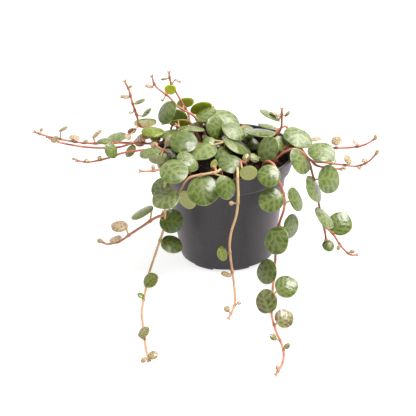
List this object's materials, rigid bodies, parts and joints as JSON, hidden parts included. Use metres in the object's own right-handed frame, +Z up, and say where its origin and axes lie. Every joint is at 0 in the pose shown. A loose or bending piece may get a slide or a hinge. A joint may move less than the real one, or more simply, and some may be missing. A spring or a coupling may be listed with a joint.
{
  "type": "potted string of turtles",
  "caption": "Small trailing houseplant with round veined leaves on thin stems that spill over the rim of a dark nursery pot.",
  "frame": {"origin": "middle of the pot's foot, on the surface it stands on", "axes": "+Z up, -Y the front of the plant, which faces the viewer and its light, +X its right"},
  "size_m": [0.144, 0.1545, 0.0755],
  "materials": {
    "pot": "satin",
    "soil": "matte",
    "foliage": "satin"
  },
  "bodies": {
    "root": {"pot": "pot", "soil": "soil", "left_vine_upper": "foliage", "left_vine_middle": "foliage", "left_vine_lower": "foliage", "rising_shoot_left": "foliage", "rising_shoot_back_left": "foliage", "rising_shoot_back": "foliage", "crown_stem_back": "foliage", "crown_stem_back_right": "foliage", "crown_stem_middle": "foliage", "crown_stem_left": "foliage", "crown_stem_left_edge": "foliage", "crown_stem_front_left": "foliage", "crown_stem_right": "foliage", "crown_stem_front_right": "foliage", "rising_shoot_right": "foliage", "right_vine_upper": "foliage", "right_vine_lower": "foliage", "right_trailing_vine": "foliage", "front_right_trailing_vine": "foliage", "front_bare_vine": "foliage", "front_stem_over_rim": "foliage", "left_trailing_vine": "foliage", "back_vine_right": "foliage", "back_vine_middle": "foliage", "back_vine_inner": "foliage", "back_vine_outer": "foliage", "back_vine_left": "foliage"}
  },
  "joints": []
}
